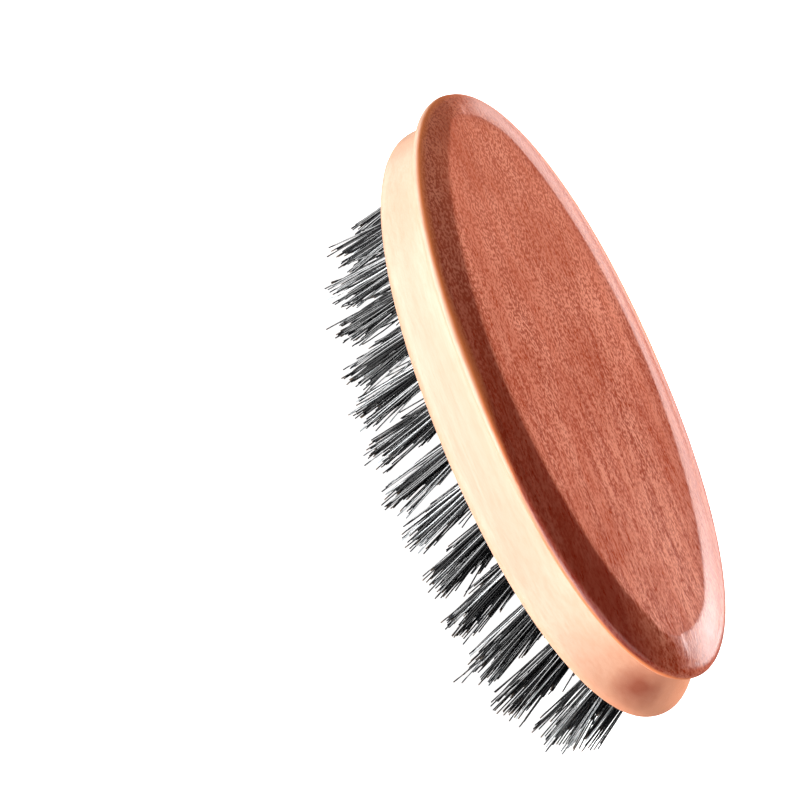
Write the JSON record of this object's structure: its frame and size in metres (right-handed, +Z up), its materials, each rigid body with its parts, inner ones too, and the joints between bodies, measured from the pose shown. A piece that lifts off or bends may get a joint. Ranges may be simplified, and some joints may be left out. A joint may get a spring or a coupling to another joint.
{
  "type": "beard brush",
  "caption": "Oval pocket beard brush: an oiled wooden block with a raised oval back and a finger groove, set with fanned tufts of dark boar bristle.",
  "frame": {"origin": "under the middle of the brush, in the plane that the bristle tips are trimmed to", "axes": "+X along the length; +Z up, from the bristle tips to the back that the hand holds; +Y across"},
  "size_m": [0.1118, 0.0442, 0.035],
  "materials": {
    "pear_wood": "oiled, satin",
    "bristle": "dark natural boar bristle, slightly glossy"
  },
  "bodies": {
    "root": {"handle_block": "pear_wood", "tuft_outer_01": "bristle", "tuft_outer_02": "bristle", "tuft_outer_03": "bristle", "tuft_outer_04": "bristle", "tuft_outer_05": "bristle", "tuft_outer_06": "bristle", "tuft_outer_07": "bristle", "tuft_outer_08": "bristle", "tuft_outer_09": "bristle", "tuft_outer_10": "bristle", "tuft_outer_11": "bristle", "tuft_outer_12": "bristle", "tuft_outer_13": "bristle", "tuft_outer_14": "bristle", "tuft_outer_15": "bristle", "tuft_outer_16": "bristle", "tuft_outer_17": "bristle", "tuft_outer_18": "bristle", "tuft_outer_19": "bristle", "tuft_outer_20": "bristle", "tuft_outer_21": "bristle", "tuft_outer_22": "bristle", "tuft_outer_23": "bristle", "tuft_outer_24": "bristle", "tuft_outer_25": "bristle", "tuft_outer_26": "bristle", "tuft_outer_27": "bristle", "tuft_outer_28": "bristle", "tuft_middle_01": "bristle", "tuft_middle_02": "bristle", "tuft_middle_03": "bristle", "tuft_middle_04": "bristle", "tuft_middle_05": "bristle", "tuft_middle_06": "bristle", "tuft_middle_07": "bristle", "tuft_middle_08": "bristle", "tuft_middle_09": "bristle", "tuft_middle_10": "bristle", "tuft_middle_11": "bristle", "tuft_middle_12": "bristle", "tuft_middle_13": "bristle", "tuft_middle_14": "bristle", "tuft_middle_15": "bristle", "tuft_middle_16": "bristle", "tuft_middle_17": "bristle", "tuft_middle_18": "bristle", "tuft_middle_19": "bristle", "tuft_middle_20": "bristle", "tuft_middle_21": "bristle", "tuft_middle_22": "bristle", "tuft_centre_01": "bristle", "tuft_centre_02": "bristle", "tuft_centre_03": "bristle", "tuft_centre_04": "bristle", "tuft_centre_05": "bristle", "tuft_centre_06": "bristle", "tuft_centre_07": "bristle", "tuft_centre_08": "bristle", "tuft_centre_09": "bristle"}
  },
  "joints": []
}
